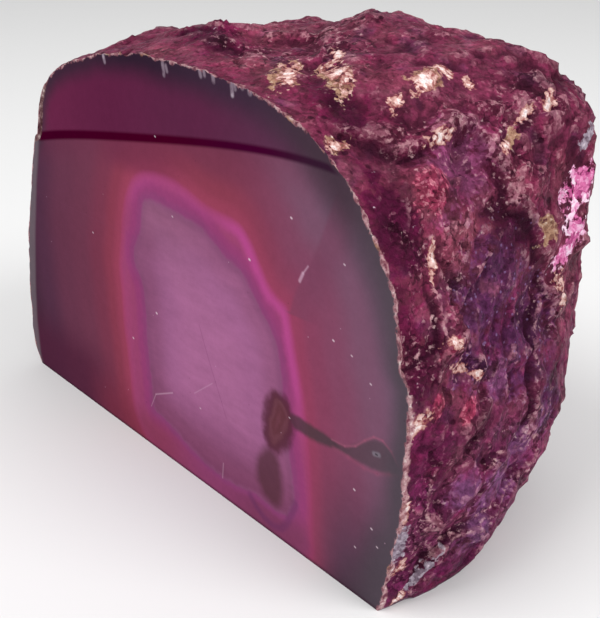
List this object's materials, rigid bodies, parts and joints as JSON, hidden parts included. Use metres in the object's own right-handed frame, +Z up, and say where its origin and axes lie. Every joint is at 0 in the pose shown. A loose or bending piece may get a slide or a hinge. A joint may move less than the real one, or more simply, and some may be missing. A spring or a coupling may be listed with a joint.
{
  "type": "agate block",
  "caption": "Free-standing block of dyed agate with one polished flat face, a sawn flat base and a rough natural rind.",
  "frame": {"origin": "middle of the block's bounding box at its base, on the surface that it stands on", "axes": "+X to the right along the polished face, +Y back from the polished face, +Z up"},
  "size_m": [0.1502, 0.0796, 0.1015],
  "materials": {
    "agate": "polished front, rough rind"
  },
  "bodies": {
    "root": {"agate_block": "agate"}
  },
  "joints": []
}
